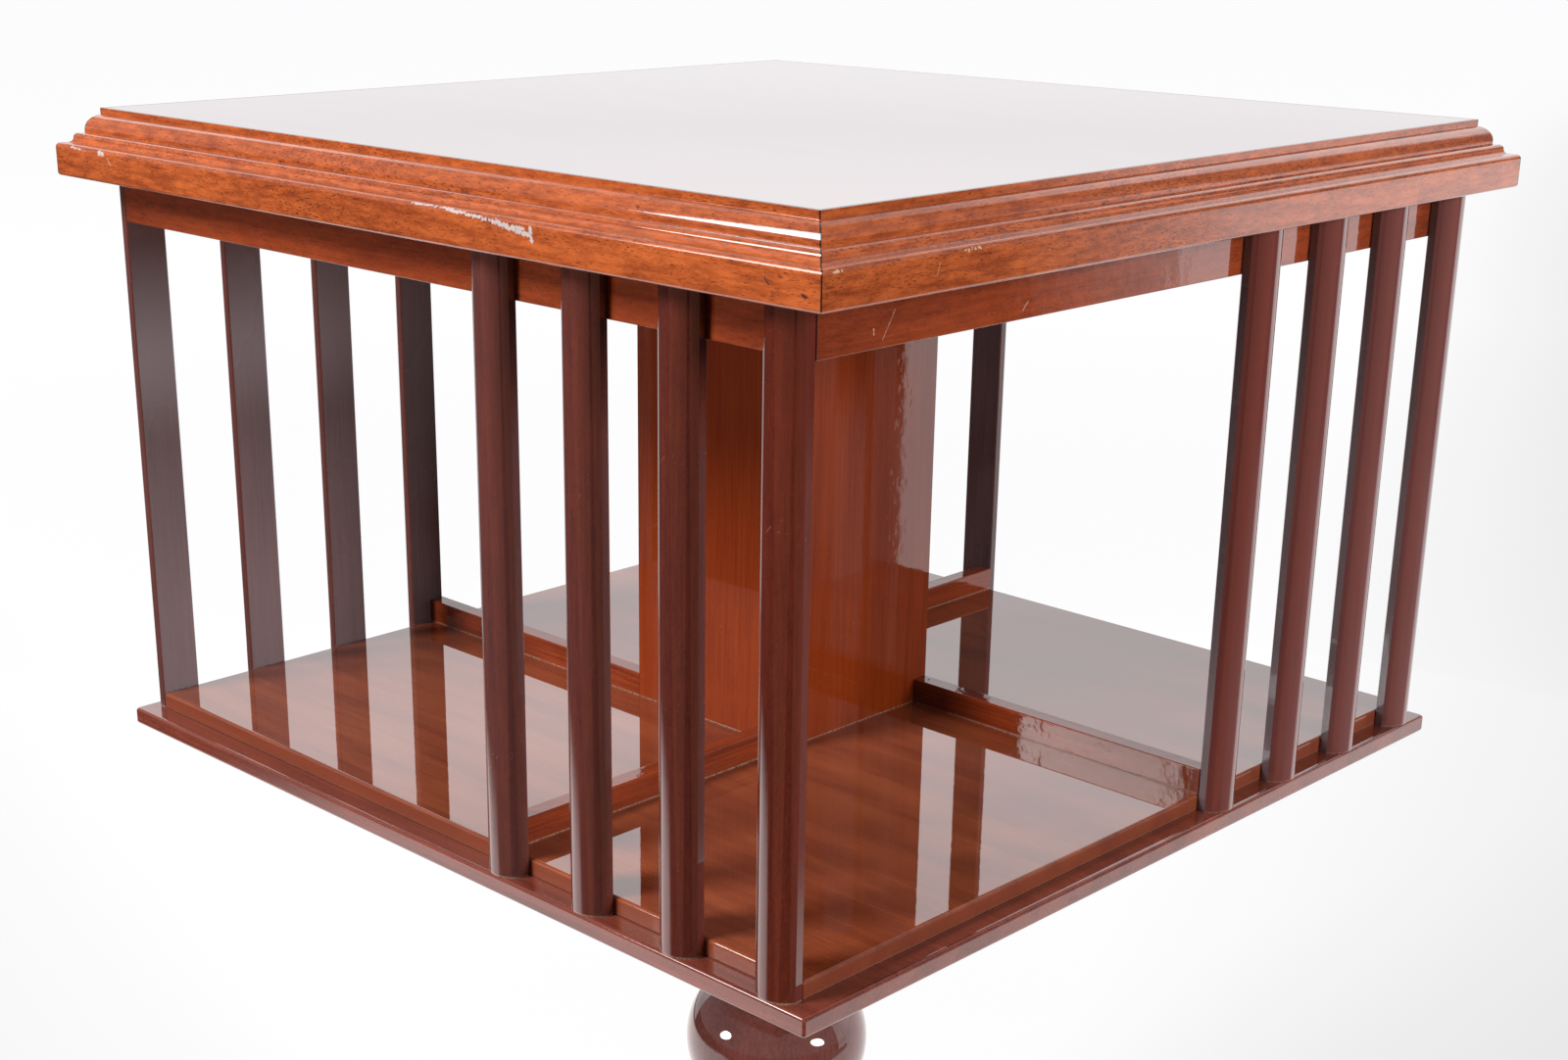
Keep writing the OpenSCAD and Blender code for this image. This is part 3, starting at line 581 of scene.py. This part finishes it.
slats = grown("slats", slat_mesh(), row_on_four_sides(),
              {"Count": SLAT_COUNT, "First": slat_middle, "Pitch": slat_pitch, "From Axis": slat_back,
               "Finish": SLAT_WOOD, "Back Finish": SLAT_BACK})
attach(slats, "bookcase")
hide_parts(*[f"slat_{side}_{k + 1}" for side in SIDES for k in range(SLAT_COUNT)])


# Frieze rails
# Four rails mitred round under the top, which the slats stand against.
FRIEZE_TONES = dict(dark=(0.12, 0.020, 0.008), light=(0.32, 0.058, 0.016), pore=(0.03, 0.008, 0.005),
                    figure=0.5, mottle=0.6, pores=0.4, scratches=0.5, ripple=6.0, mitred=True)
FRIEZE_MARKS = {"X": (), "Y": [
    ((0.2280, -0.1860, 0.7292), (0.2280, -0.1925, 0.7190), 0.0005, 0.6, (0.30, 0.12, 0.08)),
    ((0.2280, -0.1975, 0.7235), (0.2280, -0.1972, 0.7215), 0.0008, 0.7, (0.38, 0.18, 0.11)),
    ((0.2280, -0.1070, 0.7225), (0.2280, -0.1100, 0.7195), 0.0007, 0.7, (0.36, 0.17, 0.11)),
]}
FRIEZE_WOOD = {along: mahogany("Mahogany, frieze rails along " + along, along=along,
                               marks=FRIEZE_MARKS[along], **FRIEZE_TONES) for along in "XY"}
for side, along in zip(SIDES, "XYXY"):
    dress("frieze_rail_" + side, FRIEZE_WOOD[along], soften=0.0003)


# Moulded edge
# Four lengths of moulding, mitred at the corners and glued under and round the top board.
# Knocks have chipped the lip, and wax has gathered in the cove under it.
EDGE_TONES = dict(dark=(0.17, 0.028, 0.008), light=(0.49, 0.112, 0.028), pore=(0.08, 0.016, 0.006),
                  figure=0.25, mottle=0.8, pores=0.85, scratches=0.3, ripple=3.0, dull=0.09, coat_dull=0.05,
                  mitred=True)
CHIPPED = (0.42, 0.37, 0.36)
EDGE_MARKS = {"X": [
    ((-0.2360, -0.2496, 0.7525), (-0.2230, -0.2496, 0.7517), 0.0009, 0.9, (0.45, 0.30, 0.26)),
    ((-0.2110, -0.2498, 0.7520), (-0.2070, -0.2498, 0.7516), 0.0021, 0.5, CHIPPED),
    ((-0.2035, -0.2500, 0.7500), (-0.2010, -0.2500, 0.7470), 0.0006, 0.4, (0.45, 0.29, 0.23)),
    ((0.0270, -0.2492, 0.7530), (0.0500, -0.2492, 0.7529), 0.0008, 0.9, (0.48, 0.37, 0.35)),
    ((0.0500, -0.2494, 0.7528), (0.0960, -0.2498, 0.7500), 0.0014, 0.9, CHIPPED),
    ((0.0780, -0.2498, 0.7512), (0.0990, -0.2500, 0.7484), 0.0020, 0.7, CHIPPED),
    ((0.1000, -0.2499, 0.7512), (0.1010, -0.2500, 0.7455), 0.0016, 0.7, CHIPPED),
    ((0.1400, -0.2470, 0.7538), (0.1650, -0.2470, 0.7538), 0.0016, 1.0, (0.30, 0.22, 0.16)),
    ((0.2415, -0.2500, 0.7438), (0.2430, -0.2500, 0.7433), 0.0014, 0.5, (0.05, 0.012, 0.006)),
    ((0.2235, -0.2500, 0.7475), (0.2255, -0.2500, 0.7455), 0.0008, 0.5, (0.08, 0.020, 0.010)),
], "Y": [
    ((0.2496, -0.1740, 0.7520), (0.2496, -0.1655, 0.7521), 0.0011, 0.9, (0.48, 0.32, 0.22)),
    ((0.2500, -0.2440, 0.7520), (0.2500, -0.2400, 0.7521), 0.0010, 0.8, (0.50, 0.37, 0.26)),
    ((0.2448, -0.2080, 0.7585), (0.2448, -0.2065, 0.7585), 0.0010, 0.7, (0.48, 0.35, 0.24)),
    ((0.2500, -0.1880, 0.7490), (0.2500, -0.1895, 0.7450), 0.0004, 0.2, (0.36, 0.19, 0.12)),
]}
EDGE_WOOD = {along: mahogany("Mahogany, moulded edge along " + along, along=along, marks=EDGE_MARKS[along],
                             **EDGE_TONES) for along in "XY"}
COVE = ((0.7536, 0.7539), (0.7558, 0.7562))      # heights over which the wax starts and ends
LIP = ((0.7512, 0.7516), (0.7539, 0.7541))
WAX_DULL = {"X": (0.45, 0.14), "Y": (0.12, 0.0)}      # roughness that it adds in the cove and on the lip
WAX_COAT = 2.2      # how much of the lacquer it hides, as a multiple of that roughness


def band(tree, value, start, end):
    """One between two levels, falling smoothly to nothing outside them."""
    return times(tree, ramp(tree, value, *start), fade(tree, value, *end))


for along, wood in EDGE_WOOD.items():
    tree = wood.node_tree
    shader = tree.nodes["Principled BSDF"]
    roughness = shader.inputs["Roughness"]
    height = object_axes(tree)["Z"]
    cove_dull, lip_dull = WAX_DULL[along]
    waxed = maths(tree, "MULTIPLY_ADD", band(tree, height, *COVE), cove_dull,
                  times(tree, band(tree, height, *LIP), lip_dull))
    tree.links.new(maths(tree, "ADD", roughness.links[0].from_socket, waxed), roughness)
    tree.links.new(maths(tree, "MULTIPLY_ADD", waxed, -WAX_COAT, 1.0), shader.inputs["Coat Weight"])
for side, along in zip(SIDES, "XYXY"):
    dress("moulded_edge_" + side, EDGE_WOOD[along], soften=0.0004)


# Top board
# One flat board veneered in mahogany, let in flush with the moulding and polished to a mirror.
TOP = mahogany("Mahogany, veneered top", dark=(0.07, 0.018, 0.009), light=(0.17, 0.055, 0.024),
               pore=(0.04, 0.012, 0.007), along="X", figure=0.4, pores=0.5, dull=0.04, ripple=0.5)
SEAM = (0.0022, 0.0008)      # how far inside the edge of the board the glue line starts and ends
field_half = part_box("top_board")[1].x
tree = TOP.node_tree
axes = object_axes(tree)
reach = maths(tree, "MAXIMUM", maths(tree, "ABSOLUTE", axes["X"]), maths(tree, "ABSOLUTE", axes["Y"]))
seam = ramp(tree, reach, field_half - SEAM[0], field_half - SEAM[1])
overlay(TOP, seam, GLUE_LINE)
tree.links.new(maths(tree, "SUBTRACT", 1.0, seam), tree.nodes["Principled BSDF"].inputs["Coat Weight"])
dress("top_board", TOP, soften=0.0004)


# Floor
# A wide pale floor of matt paper under the castors. It looks even to the camera, with a faint shade
# on two sides, while the table's polish shows bright paper near by and a dim warm room in front.
def placed(name, shape):
    """A new object in the scene, made from a bmesh."""
    mesh = bpy.data.meshes.new(name)
    shape.to_mesh(mesh)
    shape.free()
    made = bpy.data.objects.new(name, mesh)
    bpy.context.scene.collection.objects.link(made)
    return made


FLOOR_RADIUS = 40.0
TOWARDS_FRONT, TO_THE_SIDE = (0.685, -0.729, 0), (0.729, 0.685, 0)      # level directions in the photo's view
BLACK = (0.0, 0.0, 0.0, 1)
ROOM, WARM_ROOM, GREY_ROOM = (0.035, 0.03, 0.03, 1), (0.30, 0.12, 0.08, 1), (0.22, 0.18, 0.18, 1)
LEFT_PAPER, RIGHT_PAPER = (1.30, 1.24, 1.24, 1), (1.02, 0.98, 0.98, 1)
PALE_NEAR, PALE_FAR = (0.80, 0.80, 0.81, 1), (0.955, 0.955, 0.965, 1)
SHADOW_DEPTH = (0.13, 0.13, 0.13, 1)      # the floor's own colour, which the lamps and shadows act on
SHADES = (      # direction, where the shade starts and is full, and how light it leaves the floor
    ((0.965, 0.45, 0), 0.06, 0.50, 0.84),
    ((-0.36, -1.06, 0), 0.12, 0.40, 0.91),
)
floor_shape = bmesh.new()
bmesh.ops.create_circle(floor_shape, cap_ends=True, segments=96, radius=FLOOR_RADIUS)
floor = placed("floor", floor_shape)
paper, tree, shader = new_material("Studio floor")
shader.inputs["Roughness"].default_value = 0.9
shader.inputs["Specular IOR Level"].default_value = 0.0
path = add(tree, "ShaderNodeLightPath", {}).outputs
place = object_place(tree)
axes = object_axes(tree)
x, y = axes["X"], axes["Y"]
away = add(tree, "ShaderNodeVectorMath", {0: place}, operation="LENGTH").outputs["Value"]
in_front, aside = dot(tree, place, TOWARDS_FRONT), dot(tree, place, TO_THE_SIDE)

# The dim room that the polish shows, warm on both sides of the view and grey behind on the right
warm = times(tree, ramp(tree, maths(tree, "ABSOLUTE", aside), 0.26, 0.38), ramp(tree, in_front, 0.9, 1.2))
behind = times(tree, maths(tree, "MAXIMUM", ramp(tree, y, 0.3, 0.9), fade(tree, away, 1.7, 2.2)),
               fade(tree, away, 2.5, 3.2))
room = mixed(tree, warm, ROOM, WARM_ROOM)
room = mixed(tree, times(tree, behind, ramp(tree, aside, 0.9, 1.2)), room, GREY_ROOM)

# The bright paper that it shows near the table, and again far off to the right
wider = times(tree, ramp(tree, y, 0.9, 1.2, 0.0, 0.6), fade(tree, x, 0.92, 1.05))
near_paper = times(tree, fade(tree, maths(tree, "SUBTRACT", away, wider), 1.15, 1.5),
                   fade(tree, in_front, 0.42, 0.70))
near_paper = times(tree, near_paper, fade(tree, x, 0.85, 1.05))
far_paper = times(tree, ramp(tree, maths(tree, "MULTIPLY_ADD", x, -1.15, y), 0.0, 0.9, smooth=False),
                  ramp(tree, x, 1.5, 2.0))
bright = mixed(tree, ramp(tree, x, -0.6, 0.1), LEFT_PAPER, RIGHT_PAPER)
in_polish = mixed(tree, maths(tree, "MAXIMUM", near_paper, far_paper), room, bright)
in_polish = mixed(tree, times(tree, path["Is Diffuse Ray"], 0.5), in_polish, BLACK)

# The even floor that the camera sees
evened = mixed(tree, ramp(tree, away, 0.6, 4.0, smooth=False), PALE_NEAR, PALE_FAR)
for towards, low, high, shade in SHADES:
    side = times(tree, ramp(tree, dot(tree, place, towards), low, high, smooth=False),
                 fade(tree, away, 3.5, 12.0))
    evened = mixed(tree, side, evened, mixed(tree, 1.0 - shade, evened, BLACK))
tree.links.new(mixed(tree, path["Is Camera Ray"], in_polish, evened), shader.inputs["Emission Color"])
tree.links.new(mixed(tree, path["Is Camera Ray"], BLACK, SHADOW_DEPTH), shader.inputs["Base Color"])
shader.inputs["Emission Strength"].default_value = 1.0
floor.data.materials.append(paper)


# Studio light
# A white surround stands behind the table, seen only in its polish, with soft lamps above and in
# front. Four of them light only the case or only the stem, where they show as reflections.
SURROUND_RADIUS = 1.6
SURROUND_TOP = 3.2
SURROUND_END = (0.95, 1.09)      # where its right end stands, a little outside the arc
SURROUND_ARC = range(60, 188, 6)      # degrees round from +X
SURROUND_WHITE = (1.02, 1.0, 1.02, 1)
arc = [math.radians(a) for a in SURROUND_ARC]
rim = [SURROUND_END] + [(SURROUND_RADIUS * math.cos(a), SURROUND_RADIUS * math.sin(a)) for a in arc]
surround_shape = bmesh.new()
feet = [surround_shape.verts.new((x, y, 0.0)) for x, y in rim]
heads = [surround_shape.verts.new((x, y, SURROUND_TOP)) for x, y in rim]
for k in range(len(rim) - 1):
    surround_shape.faces.new((feet[k + 1], feet[k], heads[k], heads[k + 1]))
surround = placed("surround", surround_shape)
surround.visible_camera = False
surround.visible_shadow = False

# It is brighter upwards and at its right end, and darker low on the left, at the top, and in one
# patch at the right
glow = new_material("White surround")[0]
tree = glow.node_tree
tree.nodes.clear()
axes = object_axes(tree)
x, z = axes["X"], axes["Z"]
right_end = times(tree, ramp(tree, x, 0.3, 0.8), ramp(tree, z, 0.25, 0.55))
low_left = times(tree, fade(tree, x, -1.0, -0.6), fade(tree, z, 0.3, 0.6))
dark_patch = times(tree, ramp(tree, x, 0.5, 0.75), ramp(tree, z, 0.58, 0.75, 0.0, 0.9))
strength = ramp(tree, z, 0.94, 1.10, 0.96, 1.20, smooth=False)
strength = maths(tree, "MULTIPLY_ADD", right_end, 0.25, strength)
for dimmed in (times(tree, low_left, 0.3), dark_patch):
    strength = times(tree, strength, maths(tree, "SUBTRACT", 1.0, dimmed))
strength = times(tree, strength, ramp(tree, z, 1.75, 2.35, 1.0, 0.45))
emission = add(tree, "ShaderNodeEmission", {"Color": SURROUND_WHITE, "Strength": strength})
add(tree, "ShaderNodeOutputMaterial", {"Surface": emission.outputs[0]})
surround.data.materials.append(glow)


def lamp(name, place, target, size, power, in_polish=False, only_on=(), roll=0, shape="RECTANGLE"):
    """A soft lamp aimed at a target. It shows in the polish and lights only some pieces if so told."""
    data = bpy.data.lights.new(name, "AREA")
    data.shape = shape
    data.size, data.size_y = size
    data.energy = power
    item = bpy.data.objects.new(name, data)
    item.location = place
    aim = (Vector(place) - Vector(target)).to_track_quat("Z", "Y").to_matrix()
    item.rotation_euler = (aim @ Matrix.Rotation(math.radians(roll), 3, "Z")).to_euler()
    item.visible_camera = False
    item.visible_glossy = in_polish
    if only_on:
        lit = bpy.data.collections.new(name)
        for piece in only_on:
            lit.objects.link(piece)
        item.light_linking.receiver_collection = lit
    bpy.context.scene.collection.objects.link(item)
    return item


CASE_NAMES = ("top_board", "moulded_edge", "frieze_rail", "base_board", "shelf_panel", "column_board",
              "divider_rail")
CASE = [slats] + [node for name, node in nodes.items() if name.startswith(CASE_NAMES)]
STEM = [nodes["pedestal_stem"]]
MIDDLE, BALL = (0, 0, 0.6), (0, 0, 0.3)      # what the lamps are aimed at
lamp("high front lamp", (-0.95, -2.45, 2.50), MIDDLE, (1.00, 1.00), 146)
lamp("right lamp", (3.43, 0.43, 1.43), MIDDLE, (1.30, 1.30), 132)
lamp("low front lamp", (-1.49, -3.13, 1.10), MIDDLE, (0.90, 0.90), 54)
window = lamp("window beside the camera", (-0.588, -1.115, 1.24), (0.2, -0.25, 0.75), (0.30, 0.58), 6.8,
              in_polish=True, only_on=CASE)
window.visible_diffuse = False
lamp("front lamp on the ball", (-1.49, -3.13, 1.02), BALL, (1.00, 0.60), 34,
     in_polish=True, only_on=STEM, roll=25, shape="ELLIPSE")
lamp("right lamp on the ball", (3.43, 0.43, 1.02), BALL, (1.20, 0.60), 26,
     in_polish=True, only_on=STEM, roll=-25, shape="ELLIPSE")
lamp("card beside the ball", (1.35, 1.25, 0.45), (0, 0, 0.4), (0.50, 1.00), 1.2, in_polish=True, only_on=STEM)

SKY_SEEN, SKY_IN_POLISH, SKY_LIGHT = (0.96, 0.96, 0.97, 1), (0.28, 0.265, 0.28, 1), (0.15, 0.15, 0.155, 1)
world = bpy.data.worlds.new("Studio")
bpy.context.scene.world = world
world.use_nodes = True
tree = world.node_tree
path = add(tree, "ShaderNodeLightPath", {}).outputs
sky = mixed(tree, path["Is Glossy Ray"], SKY_LIGHT, SKY_IN_POLISH)
sky = mixed(tree, path["Is Camera Ray"], sky, SKY_SEEN)
tree.links.new(sky, tree.nodes["Background"].inputs["Color"])


# Camera
# It has the photo's viewpoint: a little above the top, with the table's near corner towards it.
FOCAL_PIXELS = 2299.19
CENTRE_PIXELS = (754.04, 677.78)
FRAME_PIXELS = (1600, 1082)
SENSOR = 36.0
CAMERA_PLACE = (0.75855, -0.80750, 0.87782)
CAMERA_ANGLES = (44.3806, -19.3051, -0.5478)      # yaw, pitch and roll, in degrees
view = bpy.data.cameras.new("camera")
view.sensor_width = SENSOR
view.lens = FOCAL_PIXELS / FRAME_PIXELS[0] * SENSOR
view.shift_x = (FRAME_PIXELS[0] / 2 - CENTRE_PIXELS[0]) / FRAME_PIXELS[0]
view.shift_y = (CENTRE_PIXELS[1] - FRAME_PIXELS[1] / 2) / FRAME_PIXELS[0]
view.clip_end = 200.0
camera = bpy.data.objects.new("camera", view)
bpy.context.scene.collection.objects.link(camera)
yaw, pitch, roll = (math.radians(a) for a in CAMERA_ANGLES)
camera.matrix_world = (
    Matrix.Translation(CAMERA_PLACE) @ Matrix.Rotation(yaw, 4, "Z") @ Matrix.Rotation(pitch, 4, "X")
    @ Matrix.Rotation(roll, 4, "Y") @ Matrix.Rotation(math.pi / 2, 4, "X")
)
bpy.context.scene.camera = camera
bpy.context.scene.view_settings.view_transform = "Standard"
